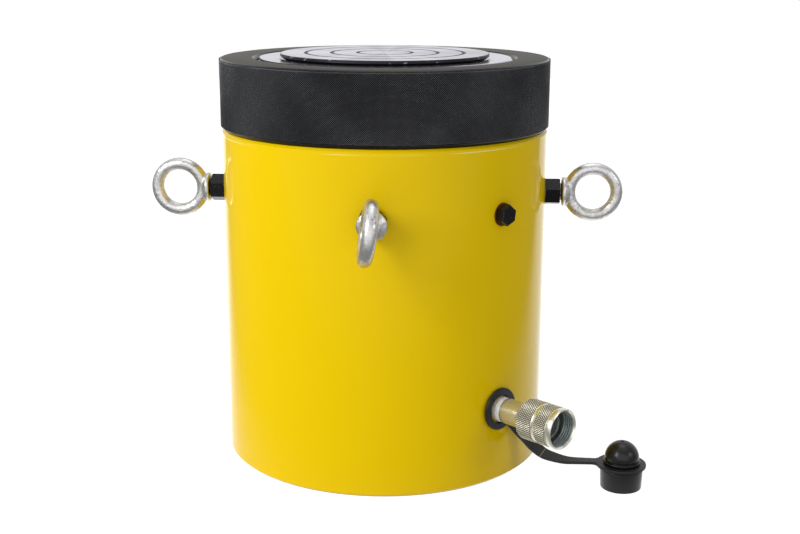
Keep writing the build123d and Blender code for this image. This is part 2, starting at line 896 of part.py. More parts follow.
# Loop of the strap that holds the cap by its waist
loop_plane = Plane(origin=cap_centre + upward * loop_bottom, x_dir=tab_direction, z_dir=(0, 0, 1))
with BuildPart() as cap_strap_loop:
    with BuildSketch(loop_plane):
        Circle(loop_diameter / 2)
        with Locations((-loop_tab_reach / 2, 0)):
            Rectangle(loop_tab_reach, strap_width)
    extrude(amount=strap_thickness)
    roots = cap_strap_loop.edges().filter_by(Axis.Z).group_by(Axis(loop_centre, tab_direction))[-1]
    fillet(roots, loop_tab_fillet)
    with BuildSketch(loop_plane):
        Circle(waist_radius + loop_gap)
        with Locations((-loop_slit_reach, 0)):
            Rectangle(loop_slit_length, loop_slit_width)
    extrude(amount=strap_thickness, mode=Mode.SUBTRACT)
save(cap_strap_loop.part, "cap_strap_loop")

# Places that the moving pieces' joints are stated from
collar_mouth = port_seat.from_local_coords(Vector(0, 0, (collar_thread_start + collar_end) / 2))
lift_pivot = band_points[-3]
for name, place in (
    ("seat_centre", Vector(*seat_centre)),
    ("port_origin", port_seat.origin),
    ("port_axis", port_seat.z_dir),
    ("collar_mouth", collar_mouth),
    ("cap_centre", cap_centre),
    ("lift_pivot", lift_pivot),
    ("tab_direction", tab_direction),
):
    print(name, tuple(round(value, 4) for value in place))
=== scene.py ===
"""Looks of the lock nut hydraulic cylinder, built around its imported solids. Metres, +Z up."""

from math import ceil, cos, floor, pi, radians, sin, sqrt, tan

import bmesh
import bpy
import numpy as np
from mathutils import Matrix, Quaternion, Vector


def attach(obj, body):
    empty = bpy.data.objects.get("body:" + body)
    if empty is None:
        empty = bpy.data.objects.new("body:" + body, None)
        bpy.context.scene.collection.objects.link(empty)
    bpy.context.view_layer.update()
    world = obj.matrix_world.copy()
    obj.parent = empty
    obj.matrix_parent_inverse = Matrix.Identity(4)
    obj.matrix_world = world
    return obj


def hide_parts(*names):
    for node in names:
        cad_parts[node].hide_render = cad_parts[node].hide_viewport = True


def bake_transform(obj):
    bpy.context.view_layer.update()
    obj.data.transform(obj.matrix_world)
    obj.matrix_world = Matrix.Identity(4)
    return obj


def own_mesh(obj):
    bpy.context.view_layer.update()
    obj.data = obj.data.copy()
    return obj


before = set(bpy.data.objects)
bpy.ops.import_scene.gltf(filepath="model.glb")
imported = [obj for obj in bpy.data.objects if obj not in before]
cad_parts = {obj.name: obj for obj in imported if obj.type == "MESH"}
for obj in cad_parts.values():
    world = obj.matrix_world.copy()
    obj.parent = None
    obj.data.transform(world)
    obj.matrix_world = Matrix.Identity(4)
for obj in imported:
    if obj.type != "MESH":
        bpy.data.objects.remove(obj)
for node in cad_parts.values():
    node.data.update()
bpy.context.view_layer.update()

# The camera stands 93 cm from the cylinder's axis and 37 cm above the floor. It looks down at
# 14 degrees, from a little to the right of the front eye, with a slightly long lens.
camera_distance = 0.9323
camera_height = 0.3676
camera_azimuth = radians(4.01)
camera_turn = 0.0124
camera_drop = 0.2433
camera_roll = 0.0032
camera = bpy.data.objects.new("camera", bpy.data.cameras.new("camera"))
camera.data.sensor_width = 36.0
camera.data.lens = 56.52
camera.location = (
    camera_distance * sin(camera_azimuth),
    -camera_distance * cos(camera_azimuth),
    camera_height,
)
camera.rotation_euler = (
    Matrix.Rotation(camera_azimuth - camera_turn, 3, "Z")
    @ Matrix.Rotation(pi / 2 - camera_drop, 3, "X")
    @ Matrix.Rotation(camera_roll, 3, "Z")
).to_euler()
bpy.context.scene.collection.objects.link(camera)
bpy.context.scene.camera = camera


# Cylinder body: one steel forging with a closed bottom, machined and then sprayed all over in
# gloss yellow enamel. Its solid is right as it is, so it only gets the paint.
def srgb(red, green, blue):
    """A colour as it looks on a screen, from 0 to 255, as the linear numbers that shaders use."""
    return tuple(((value / 255 + 0.055) / 1.055) ** 2.4 for value in (red, green, blue)) + (1.0,)


def feed(tree, socket, value):
    """Links a Value to a socket, or sets the socket to a plain number or colour."""
    if isinstance(value, Value):
        tree.links.new(value.socket, socket)
    else:
        socket.default_value = value


class Value:
    """An output in a node tree. Python's operators on it add Math nodes."""

    def __init__(self, tree, socket):
        self.tree = tree
        self.socket = socket

    def maths(self, operation, *terms):
        node = self.tree.nodes.new("ShaderNodeMath")
        node.operation = operation
        for socket, term in zip(node.inputs, terms):
            feed(self.tree, socket, term)
        return Value(self.tree, node.outputs[0])

    def __add__(self, other):
        return self.maths("ADD", self, other)

    def __radd__(self, other):
        return self.maths("ADD", other, self)

    def __sub__(self, other):
        return self.maths("SUBTRACT", self, other)

    def __rsub__(self, other):
        return self.maths("SUBTRACT", other, self)

    def __mul__(self, other):
        return self.maths("MULTIPLY", self, other)

    def __rmul__(self, other):
        return self.maths("MULTIPLY", other, self)

    def __truediv__(self, other):
        return self.maths("DIVIDE", self, other)

    def __rtruediv__(self, other):
        return self.maths("DIVIDE", other, self)

    def __mod__(self, other):
        return self.maths("FLOORED_MODULO", self, other)

    def __pow__(self, other):
        return self.maths("POWER", self, other)

    def __gt__(self, other):
        return self.maths("GREATER_THAN", self, other)

    def __lt__(self, other):
        return self.maths("LESS_THAN", self, other)

    def floored(self):
        return self.maths("FLOOR", self)

    def at_least(self, other):
        return self.maths("MAXIMUM", self, other)

    def at_most(self, other):
        return self.maths("MINIMUM", self, other)


class Tree:
    """A node tree that is built by code."""

    def __init__(self, tree):
        self.tree = tree

    def node(self, kind, settings=None, sockets=None, output=0):
        """Adds a node: its settings first, such as a ramp's stops, then its sockets."""
        node = self.tree.nodes.new(kind)
        for name, setting in (settings or {}).items():
            if name != "stops":
                setattr(node, name, setting)
                continue
            ramp = node.color_ramp
            for place, colour in setting[2:]:
                ramp.elements.new(place)
            for stop, (place, colour) in zip(ramp.elements, sorted(setting)):
                stop.position = place
                stop.color = colour
        for name, value in (sockets or {}).items():
            feed(self.tree, node.inputs[name], value)
        return Value(self.tree, node.outputs[output])


class Finish(Tree):
    """A material whose look comes from nodes on Object coordinates."""

    def __init__(self, name):
        self.material = bpy.data.materials.new(name)
        self.material.use_nodes = True
        super().__init__(self.material.node_tree)
        self.shader = self.tree.nodes["Principled BSDF"]
        self.place = self.node("ShaderNodeTexCoord", output="Object")

    def noise(self, scale, detail=2.0, place=None):
        """Cloudy noise with scale lumps to the metre, from 0 to 1."""
        sockets = {"Vector": place or self.place, "Scale": scale, "Detail": detail}
        return self.node("ShaderNodeTexNoise", sockets=sockets, output="Fac")

    def between(self, share, first, second):
        """A colour that goes from the first to the second as the share goes from 0 to 1."""
        return self.node("ShaderNodeMix", {"data_type": "RGBA"}, {0: share, 6: first, 7: second}, 2)

    def step(self, value, low, high, first=0.0, last=1.0):
        """Goes from first to last while the value goes from low to high, and holds outside."""
        sockets = {0: value, 1: low, 2: high, 3: first, 4: last}
        return self.node("ShaderNodeMapRange", {"interpolation_type": "SMOOTHSTEP"}, sockets)

    def bump(self, height, distance, under=None):
        """A normal from a height that goes from 0 to 1, over a distance in metres."""
        sockets = {"Height": height, "Distance": distance, "Strength": 1.0}
        if under is not None:
            sockets["Normal"] = under
        return self.node("ShaderNodeBump", sockets=sockets)

    def centred(self, centre, outward):
        """Object coordinates on a piece's own axis: the distance from the axis, and along it."""
        turn = Vector(outward).rotation_difference(Vector((0, 0, 1))).to_matrix()
        shift = -(turn @ Vector(centre))
        mapped = self.node(
            "ShaderNodeMapping",
            sockets={
                "Vector": self.place,
                "Rotation": tuple(turn.to_euler()),
                "Location": tuple(shift),
            },
        )
        parts = self.tree.nodes.new("ShaderNodeSeparateXYZ")
        feed(self.tree, parts.inputs[0], mapped)
        x, y, z = (Value(self.tree, socket) for socket in parts.outputs)
        return (x * x + y * y) ** 0.5, z, mapped

    def set(self, **sockets):
        """Sets the shader: Base_Color=..., Roughness=... and so on."""
        for name, value in sockets.items():
            feed(self.tree, self.shader.inputs[name.replace("_", " ")], value)
        return self.material


def dress(node, finish):
    """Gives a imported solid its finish."""
    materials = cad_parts[node].data.materials
    materials.clear()
    materials.append(finish)


enamel = Finish("gloss_yellow_enamel")
enamel_drift = enamel.noise(5.0, 1.0)
enamel_peel = enamel.bump(enamel.noise(300.0, 1.5), 0.00003)
enamel_grain = enamel.bump(enamel.noise(1500.0, 1.0), 0.000004, enamel_peel)
enamel_out, enamel_height, enamel_place = enamel.centred((0, 0, 0), (0, 0, 1))
# A thin pale line on the enamel just under the nut is a painted highlight, broken up by noise.
highlight_streaks = enamel.step(enamel.noise(14.0, 2.0), 0.42, 0.62)
enamel_painted_highlight = (
    enamel.step(enamel_height, 0.2402, 0.2406)
    * enamel.step(enamel_height, 0.2412, 0.2408)
    * highlight_streaks
    * 0.85
)
highlight_yellow = srgb(255, 246, 170)
gloss_yellow = enamel.set(
    Base_Color=enamel.between(
        enamel_painted_highlight, enamel.between(enamel_drift, srgb(240, 202, 0), srgb(244, 208, 0)), highlight_yellow
    ),
    Roughness=0.5,
    Specular_IOR_Level=0.0,
    Normal=enamel_grain,
    Coat_Weight=1.0,
    Coat_Roughness=0.04,
    Coat_IOR=1.2,
)
dress("cylinder_body", gloss_yellow)


# Lock nut: a steel ring, black oxide all over, with a fine diamond knurl pressed into its wall
# and a trapezoidal thread in its bore. It is screwed down the plunger onto the body's top face.
MM = 0.001
MERGE = 0.002


class Pattern(Tree):
    """A Geometry Nodes tree with named sizes, which makes a plain mesh."""

    def __init__(self, name, **sizes):
        group = bpy.data.node_groups.new(name, "GeometryNodeTree")
        group.interface.new_socket("Geometry", in_out="OUTPUT", socket_type="NodeSocketGeometry")
        for size, value in sizes.items():
            kind = "NodeSocketInt" if isinstance(value, int) else "NodeSocketFloat"
            socket = group.interface.new_socket(size, in_out="INPUT", socket_type=kind)
            socket.default_value = value
        super().__init__(group)
        self.source = group.nodes.new("NodeGroupInput")

    def size(self, name):
        return Value(self.tree, self.source.outputs[name])

    def end(self, geometry, finish):
        """Ends the tree: instances made real, and the finish set."""
        real = self.node("GeometryNodeRealizeInstances", sockets={"Geometry": geometry})
        sockets = {"Geometry": real, "Material": finish}
        dressed = self.node("GeometryNodeSetMaterial", sockets=sockets)
        feed(self.tree, self.tree.nodes.new("NodeGroupOutput").inputs[0], dressed)

    def mesh(self, **sizes):
        """The mesh that the tree makes with these sizes."""
        maker = bpy.data.objects.new(self.tree.name, bpy.data.meshes.new(self.tree.name))
        bpy.context.scene.collection.objects.link(maker)
        modifier = maker.modifiers.new(self.tree.name, "NODES")
        modifier.node_group = self.tree
        for item in self.tree.interface.items_tree:
            if item.name in sizes:
                modifier[item.identifier] = sizes[item.name]
        made = bpy.data.meshes.new_from_object(
            maker.evaluated_get(bpy.context.evaluated_depsgraph_get())
        )
        bpy.data.objects.remove(maker)
        return made


def circle(radius, height, count):
    """Points round an axis, in millimetres, with the first one given again at the end."""
    angle = np.arange(count + 1) * 2 * pi / count
    flat = np.ones(count + 1)
    return np.column_stack((radius * np.cos(angle), radius * np.sin(angle), height * flat))


def rounded(corners, steps=4):
    """An outline's points, from corners (x, y, radius) with an arc at each radius above 0."""
    points = []
    for index, (x, y, radius) in enumerate(corners):
        here = Vector((x, y))
        if not radius:
            points.append((x, y))
            continue
        back = (Vector(corners[index - 1][:2]) - here).normalized()
        on = (Vector(corners[(index + 1) % len(corners)][:2]) - here).normalized()
        half = back.angle(on) / 2
        centre = here + (back + on).normalized() * (radius / sin(half))
        first = here + back * (radius / tan(half)) - centre
        last = here + on * (radius / tan(half)) - centre
        for step in range(steps + 1):
            share = step / steps
            spoke = (first * (1 - share) + last * share).normalized() * radius
            points.append(tuple(centre + spoke))
    return points


class Shape:
    """The skin of one piece, gathered in millimetres before it becomes a mesh."""

    def __init__(self):
        self.points = []
        self.faces = []
        self.count = 0

    def add(self, points, faces):
        self.points.append(np.asarray(points, float))
        self.faces.extend(tuple(self.count + corner for corner in face) for face in faces)
        self.count += len(points)

    def skin(self, rings):
        """Faces from each ring of points to the next, which may have several times fewer."""
        starts = np.cumsum([0] + [len(ring) for ring in rings])
        faces = []
        for start, ring, after, following in zip(starts, rings, starts[1:], rings[1:]):
            fine, coarse = len(ring) - 1, len(following) - 1
            if fine == coarse:
                faces += [
                    (start + i, start + i + 1, after + i + 1, after + i) for i in range(fine)
                ]
                continue
            swap = fine < coarse
            a, b = (after, start) if swap else (start, after)
            share = max(fine, coarse) // min(fine, coarse)
            for i in range(min(fine, coarse)):
                for k in range(share):
                    near = b + i + (1 if 2 * k >= share else 0)
                    faces.append((a + i * share + k, a + i * share + k + 1, near))
                faces.append((a + i * share + (share + 1) // 2, b + i + 1, b + i))
        self.add(np.vstack(rings), faces)
        return self

    def turned(self, outline, count):
        """A lathe's work: an outline of (radius, height) points turned round the axis."""
        return self.skin([circle(radius, height, count) for radius, height in outline])

    def take(self, mesh):
        """Adds a mesh in metres."""
        points = np.empty(len(mesh.vertices) * 3)
        mesh.vertices.foreach_get("co", points)
        self.add(points.reshape(-1, 3) / MM, [tuple(face.vertices) for face in mesh.polygons])
        return self

    def piece(self, name, finish, seat=None, crease=30.0):
        """The piece as an object: points merged, faces outwards, edges over the crease sharp."""
        work = bmesh.new()
        points = [work.verts.new(point) for point in np.vstack(self.points)]
        for face in self.faces:
            work.faces.new([points[corner] for corner in face])
        bmesh.ops.remove_doubles(work, verts=work.verts, dist=MERGE)
        bmesh.ops.dissolve_degenerate(work, edges=work.edges, dist=MERGE / 4)
        bmesh.ops.recalc_face_normals(work, faces=work.faces)
        bmesh.ops.transform(work, matrix=(seat or Matrix.Identity(4)), verts=work.verts)
        bmesh.ops.scale(work, vec=(MM, MM, MM), verts=work.verts)
        for face in work.faces:
            face.smooth = True
        for edge in work.edges:
            edge.smooth = edge.calc_face_angle(pi) < radians(crease)
        mesh = bpy.data.meshes.new(name)
        work.to_mesh(mesh)
        work.free()
        mesh.materials.append(finish)
        piece = bpy.data.objects.new(name, mesh)
        bpy.context.scene.collection.objects.link(piece)
        return piece


def fit(piece, body, slot, *nodes):
    """Puts a finished piece on its body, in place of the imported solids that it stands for."""
    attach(piece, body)
    if nodes:
        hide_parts(*nodes)


def thread(form, pitch, low, high, count, limit):
    """Rings of a screw thread between two heights. form is (share of the pitch, radius) points
    over one turn, and limit trims a radius at a height."""
    share = np.arange(count + 1) / count
    shares = [rise for rise, _ in form] + [form[0][0] + 1]
    radii = [radius for _, radius in form] + [form[0][1]]
    rings = []
    for turn in range(floor(low / pitch) - 1, ceil(high / pitch) + 1):
        for rise, _ in form:
            height = np.clip(pitch * (turn + rise + share), low, high)
            phase = (height / pitch - share - shares[0]) % 1 + shares[0]
            radius = limit(np.interp(phase, shares, radii), height)
            rings.append(circle(radius, height, count))
    return rings


nut_radius = 121.0
nut_bottom = 244.5
nut_top = 295.5
nut_edge = 1.6
nut_foot = 3.2
nut_foot_inset = 2.4
nut_mouth_radius = 97.15
knurl_around = 1080
knurl_rows = 66
knurl_depth = 0.42
thread_pitch = 6.0
thread_count = 270
nut_thread_form = ((-0.177, 95.2), (0.177, 95.2), (0.334, 91.7), (0.666, 91.7))

knurl = Pattern("diamond_knurl", Around=1080, Rows=68, Radius=0.121, Height=0.0478, Depth=0.0004)
knurl_wall = knurl.node(
    "GeometryNodeMeshCylinder",
    {"fill_type": "NONE"},
    {
        "Vertices": knurl.size("Around"),
        "Side Segments": knurl.size("Rows"),
        "Radius": knurl.size("Radius"),
        "Depth": knurl.size("Height"),
    },
)
knurl_index = knurl.node("GeometryNodeInputIndex")
knurl_odd = (knurl_index + (knurl_index / knurl.size("Around")).floored()) % 2
knurl_flat = knurl.node(
    "ShaderNodeVectorMath",
    {"operation": "MULTIPLY"},
    {0: knurl.node("GeometryNodeInputPosition"), 1: (1.0, 1.0, 0.0)},
)
knurl_outward = knurl.node("ShaderNodeVectorMath", {"operation": "NORMALIZE"}, {0: knurl_flat})
knurl_sunk = knurl.node(
    "ShaderNodeVectorMath",
    {"operation": "SCALE"},
    {0: knurl_outward, "Scale": knurl_odd * knurl.size("Depth") * -1.0},
)
knurl_relief = knurl.node(
    "GeometryNodeSetPosition", sockets={"Geometry": knurl_wall, "Offset": knurl_sunk}
)
knurl_half = knurl.node(
    "GeometryNodeTriangulate",
    {"quad_method": "FIXED"},
    {"Mesh": knurl_relief, "Selection": knurl_odd},
)
knurl_whole = knurl.node(
    "GeometryNodeTriangulate", {"quad_method": "FIXED_ALTERNATE"}, {"Mesh": knurl_half}
)

oxide = Finish("black_oxide")
oxide_out, oxide_height, oxide_place = oxide.centred((0, 0, 0), (0, 0, 1))
oxide_mottle = oxide.noise(60.0, 3.0)
oxide_wear = oxide.step(oxide.noise(900.0, 2.0), 0.62, 0.78)
# Pale knurl tips in patches are painted glints on partly worn steel; the pale band where the wall meets
# the top chamfer is a painted highlight along a worn edge.
oxide_glint_patches = oxide.step(oxide.noise(18.0, 2.0), 0.35, 0.65, 0.35, 1.0)
oxide_wall = oxide.step(oxide_height, 0.2472, 0.2474) * oxide.step(oxide_out, 0.1213, 0.1212)
oxide_tip_wear_and_glints = oxide.step(oxide_out, 0.12082, 0.12096) * oxide_glint_patches * oxide_wall
oxide_rim_wear_and_highlight = oxide.step(oxide_height, 0.2934, 0.2938) * oxide.step(oxide_height, 0.2944, 0.2940)
oxide_plain = 1.0 - oxide_wall * oxide.step(oxide_height, 0.2942, 0.2940)
black_oxide = oxide.set(
    Base_Color=oxide.between(
        (oxide_wear * 0.12 + oxide_tip_wear_and_glints + oxide_rim_wear_and_highlight * oxide_wall * oxide_glint_patches * 0.22).at_most(1.0),
        srgb(19, 20, 23),
        srgb(188, 192, 198),
    ),
    Roughness=0.34 + oxide_mottle * 0.12 - oxide_plain * 0.16,
    Metallic=0.35,
    Specular_IOR_Level=0.3,
    Normal=oxide.bump(oxide.noise(1200.0, 2.0), 0.000006),
)
knurl.end(knurl_whole, black_oxide)
# The nut's top face is a lighter, warmer grey than its wall: painted light on the face that looks up at
# the lamps. Its fine rings are turning marks.
faced = Finish("black_oxide_faced")
faced_out, faced_height, faced_place = faced.centred((0, 0, 0), (0, 0, 1))
faced_rings = faced.node(
    "ShaderNodeTexNoise",
    {"noise_dimensions": "1D"},
    {"W": faced_out, "Scale": 1500.0, "Detail": 2.0},
    "Fac",
)
faced_oxide_painted_light = faced.set(
    Base_Color=faced.between(faced_rings, srgb(62, 60, 54), srgb(84, 81, 74)),
    Roughness=0.42,
    Specular_IOR_Level=0.03,
    Normal=faced.bump(faced_rings, 0.00001),
)


def knurled_edge(radius, height, count, depth, row):
    """The ring of points at a knurl's edge, where tips and valleys take turns."""
    sunk = (np.arange(count + 1) + row) % 2
    return circle(radius - sunk * depth, height, count)


def nut_mouth(radius, height):
    """Trims the nut's thread to the chamfers at both ends of its bore."""
    top = nut_mouth_radius - (nut_top - height)
    bottom = nut_mouth_radius - 1.0 - (height - nut_bottom)
    return np.maximum(radius, np.maximum(top, bottom))


wall_low = nut_bottom + nut_foot
wall_high = nut_top - nut_edge
wall_height = wall_high - wall_low
nut_shape = Shape()
knurl_mesh = knurl.mesh(Depth=knurl_depth * MM)
knurl_mesh.transform(Matrix.Translation((0, 0, (wall_low + wall_high) / 2 * MM)))
nut_shape.take(knurl_mesh)
nut_bore = thread(
    nut_thread_form, thread_pitch, nut_bottom, nut_top, thread_count, nut_mouth
)
nut_shape.skin(
    [knurled_edge(nut_radius, wall_low, knurl_around, knurl_depth, 0)]
    + [
        circle(radius, height, knurl_around)
        for radius, height in (
            (nut_radius - 0.45, wall_low - 0.25),
            (nut_radius - nut_foot_inset, nut_bottom + 0.12),
            (nut_radius - nut_foot_inset - 0.3, nut_bottom),
        )
    ]
    + [circle(nut_mouth_radius + 0.6, nut_bottom, thread_count)]
    + nut_bore
    + [circle(nut_mouth_radius + 0.6, nut_top, thread_count)]
    + [
        circle(radius, height, knurl_around)
        for radius, height in (
            (nut_radius - nut_edge - 0.3, nut_top),
            (nut_radius - nut_edge, nut_top - 0.12),
            (nut_radius - 0.45, wall_high + 0.25),
        )
    ]
    + [knurled_edge(nut_radius, wall_high, knurl_around, knurl_depth, knurl_rows)]
)
lock_nut = nut_shape.piece("knurled_lock_nut", black_oxide, crease=26.0)
lock_nut.data.materials.append(faced_oxide_painted_light)
for face in lock_nut.data.polygons:
    face.material_index = int(face.normal.z > 0.999 and face.center.z > (nut_top - 0.1) * MM)
fit(lock_nut, "lock_nut", "black_oxide", "lock_nut")


# Plunger: hard plated steel, threaded from its piston to its top, with a dished seat turned in
# its top for the saddle. The pieces in its piston's grooves keep their solids.
turned_steel = Finish("plated_turned_steel")
steel_radius, steel_height, steel_place = turned_steel.centred((0, 0, 0), (0, 0, 1))
steel_rings = turned_steel.node(
    "ShaderNodeTexNoise",
    {"noise_dimensions": "1D"},
    {"W": steel_radius, "Scale": 2600.0, "Detail": 3.0},
    "Fac",
)
steel_cloud = turned_steel.noise(30.0, 3.0)
steel_scuffs = turned_steel.noise(220.0, 4.0)
plated_steel = turned_steel.set(
    Base_Color=turned_steel.between(
        (steel_cloud + steel_rings) / 2.0, srgb(176, 175, 190), srgb(214, 213, 228)
    ),
    Metallic=1.0,
    Roughness=0.10 + steel_rings * 0.06 + steel_scuffs * 0.05,
    Normal=turned_steel.bump(steel_rings, 0.000004),
)

plunger_top = 295.2
thread_start = 109.3
plunger_lead_radius = 92.3
plunger_form = ((-0.183, 94.7), (0.183, 94.7), (0.34, 91.2), (0.66, 91.2))
seat_centre_z = 393.481
seat_radius = 125.0
recess_radius = 31.5
recess_floor = 250.98


def plunger_ends(radius, height):
    """Trims the plunger's thread to a lead-in at its top and to its neck at the bottom."""
    top = plunger_lead_radius + (plunger_top - height)
    bottom = 90.05 + (height - thread_start) * 1.5
    return np.minimum(radius, np.minimum(top, bottom))


seat_edge = sqrt(seat_radius**2 - (seat_centre_z - plunger_top) ** 2)
seat_arc = [
    (reach, seat_centre_z - sqrt(seat_radius**2 - reach**2))
    for reach in np.linspace(seat_edge, recess_radius, 14)
]
piston_outline = [(0, 48.3), (85.0, 48.3), (90.0, 53.3), (90.0, 57.3), (94.4, 57.3), (94.7, 57.6)]
for groove_low, groove_high, groove_floor in (
    (61.1, 69.5, 92.5),
    (73.1, 85.0, 88.5),
    (89.1, 97.5, 92.5),
):
    piston_outline += [
        (94.7, groove_low),
        (groove_floor, groove_low),
        (groove_floor, groove_high),
        (94.7, groove_high),
    ]
piston_outline += [(94.7, 101.0), (94.4, 101.3), (90.05, 101.3), (90.05, thread_start)]
plunger_shape = Shape()
plunger_shape.skin(
    [circle(radius, height, thread_count) for radius, height in piston_outline]
    + thread(
        plunger_form, thread_pitch, thread_start, plunger_top, thread_count, plunger_ends
    )
    + [
        circle(radius, height, thread_count)
        for radius, height in [(seat_edge + 0.5, plunger_top)]
        + [(seat_edge + 0.15, plunger_top - 0.1)]
        + seat_arc[1:]
        + [(recess_radius, recess_floor), (0, recess_floor)]
    ]
)
plunger = plunger_shape.piece("threaded_plunger", plated_steel, crease=24.0)
fit(plunger, "plunger", "plated_steel", "plunger")

# Saddle: a turned disc with three ring grooves, its rim left dark, tilting on a dished liner of
# bearing bronze. A rubber ring on its spigot centres it. All three keep their solids.
saddle_top = 298.4
saddle_disc = Finish("turned_saddle_steel")
disc_radius, disc_height, disc_place = saddle_disc.centred((0, 0, 0), (0, 0, 1))
disc_rings = saddle_disc.node(
    "ShaderNodeTexNoise",
    {"noise_dimensions": "1D"},
    {"W": disc_radius, "Scale": 2600.0, "Detail": 3.0},
    "Fac",
)
# Below the disc's top face and along its grooves the steel is painted dark as painted shade; the rim is
# dark oxide with chips.
disc_depth = saddle_top * MM - disc_height
disc_recess_shade = saddle_disc.step(disc_depth, 0.00005, 0.0002)
disc_rim = saddle_disc.step(disc_radius, 0.0758, 0.0762)
disc_groove_shade = 0.0
for groove in (0.020, 0.039, 0.058):
    groove_reach = (disc_radius - groove).at_least(groove - disc_radius)
    disc_groove_shade = saddle_disc.step(groove_reach, 0.0019, 0.0013) + disc_groove_shade
disc_rim_and_shade = (disc_recess_shade + disc_rim + disc_groove_shade * 0.7).at_most(1.0)
disc_bands = saddle_disc.step(disc_rings, 0.35, 0.65)
# Brighter and darker sectors round the disc are a painted sheen.
disc_flat = saddle_disc.node(
    "ShaderNodeVectorMath", {"operation": "MULTIPLY"}, {0: disc_place, 1: (1.0, 1.0, 0.0)}
)
disc_spoke = saddle_disc.node("ShaderNodeVectorMath", {"operation": "NORMALIZE"}, {0: disc_flat})
disc_painted_sheen = saddle_disc.step(saddle_disc.noise(2.4, 2.0, disc_spoke), 0.38, 0.62)
disc_tone_and_sheen = saddle_disc.noise(30.0, 3.0) * 0.2 + disc_bands * 0.25 + disc_painted_sheen * 0.55
disc_chips = saddle_disc.step(saddle_disc.noise(260.0, 2.0), 0.66, 0.70)
disc_bare = saddle_disc.between(disc_tone_and_sheen, srgb(158, 157, 174), srgb(236, 235, 248))
disc_black = saddle_disc.between(disc_chips * disc_rim, srgb(30, 29, 33), srgb(150, 150, 158))
saddle_steel = saddle_disc.set(
    Base_Color=saddle_disc.between(disc_rim_and_shade, disc_bare, disc_black),
    Metallic=1.0 - disc_rim_and_shade * 0.6,
    Roughness=0.20 + disc_rings * 0.08 + disc_rim_and_shade * 0.2,
    Normal=saddle_disc.bump(disc_rings, 0.000008),
)
dress("saddle", saddle_steel)

bearing_bronze = Finish("bearing_bronze").set(
    Base_Color=srgb(186, 146, 88), Metallic=1.0, Roughness=0.38
)
seal_compound = Finish("seal_rubber").set(Base_Color=srgb(38, 38, 42), Roughness=0.5)
white_ptfe = Finish("white_ptfe").set(Base_Color=srgb(232, 230, 224), Roughness=0.55)
dress("saddle_seat_liner", bearing_bronze)
dress("lower_bearing_band", bearing_bronze)
dress("upper_bearing_band", bearing_bronze)
dress("saddle_grip_ring", seal_compound)
dress("piston_seal", seal_compound)
dress("seal_backup_ring", white_ptfe)


# Lifting eyebolts: forged, zinc plated and screwed into the body's side at the quarter points.
# Each is locked with a black hexagon nut. Their skins are the solids', blended where they meet.
def solid_copy(node, name):
    """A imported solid's own copy, its points merged."""
    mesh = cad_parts[node].data.copy()
    work = bmesh.new()
    work.from_mesh(mesh)
    bmesh.ops.remove_doubles(work, verts=work.verts, dist=1e-6)
    work.to_mesh(mesh)
    work.free()
    piece = bpy.data.objects.new(name, mesh)
    bpy.context.scene.collection.objects.link(piece)
    return piece


def cast_skin(piece, finish, voxel, rounds):
    """Rounds a piece's edges and roots, as a forging or a moulding leaves them."""
    grain = piece.modifiers.new("grain", "REMESH")
    grain.mode = "VOXEL"
    grain.voxel_size = voxel * MM
    blend = piece.modifiers.new("blend", "SMOOTH")
    blend.factor = 0.5
    blend.iterations = rounds
    skin = bpy.data.meshes.new_from_object(
        piece.evaluated_get(bpy.context.evaluated_depsgraph_get())
    )
    piece.modifiers.clear()
    piece.data = skin
    for face in skin.polygons:
        face.use_smooth = True
    skin.materials.clear()
    skin.materials.append(finish)
    return piece


zinc = Finish("bright_zinc_forging")
zinc_skin = zinc.noise(520.0, 3.0)
zinc_lumps = zinc.noise(150.0, 3.0)
zinc_tone = zinc.noise(40.0, 2.0)
zinc_pits = zinc.step(zinc.noise(620.0, 2.0), 0.60, 0.70)
bright_zinc = zinc.set(
    Base_Color=zinc.between(
        zinc_pits * 0.6,
        zinc.between(zinc_tone, srgb(190, 188, 178), srgb(232, 231, 236)),
        srgb(98, 96, 90),
    ),
    Metallic=1.0,
    Roughness=0.25 + zinc_skin * 0.20,
    Normal=zinc.bump(zinc_lumps, 0.0006, zinc.bump(zinc_skin, 0.0002)),
)
eye_lean = (
    Matrix.Translation((0, 0, 0.1966))
    @ Matrix.Rotation(radians(8.2), 4, "Y")
    @ Matrix.Translation((0, 0, -0.1966))
)
for side in ("front", "right", "rear", "left"):
    eye = solid_copy(f"eyebolt_{side}", f"forged_eyebolt_{side}")
    if side == "front":
        for point in eye.data.vertices:
            x, y, z = point.co
            if y < -0.1375:
                point.co.x = x * 1.03
            elif y < -0.130:
                point.co.x = x * 0.94 + 0.0007
                point.co.z = 0.1966 + (z - 0.1966) * 0.94
        eye.data.transform(eye_lean)
    cast_skin(eye, bright_zinc, 0.5, 8)
    fit(eye, "cylinder", "zinc_cast", f"eyebolt_{side}")
    dress(f"eyebolt_nut_{side}", black_oxide)


# Vent plug: a black hexagon screw that closes the stroke limiting port, on a copper washer in
# a spot face. Both keep their solids.
dress("vent_plug", black_oxide)
dull_copper = Finish("dull_copper").set(Base_Color=srgb(150, 98, 70), Metallic=1.0, Roughness=0.42)
dress("vent_washer", dull_copper)


# Coupler body: turned steel with two wrench flats, zinc plated with a yellow passivate. It is
# screwed into the oil port over white thread tape, and holds the seat ring and the nose seal.
port_azimuth = radians(47.2)
port_height = 54.0
port_outward = Vector((sin(port_azimuth), -cos(port_azimuth), 0))
port_sideways = Vector((cos(port_azimuth), sin(port_azimuth), 0))
port_mouth = port_outward * 120.0 + Vector((0, 0, port_height))
port_seat = Matrix.Translation(port_mouth) @ Matrix(
    (port_sideways, (0, 0, 1), port_outward)
).transposed().to_4x4()

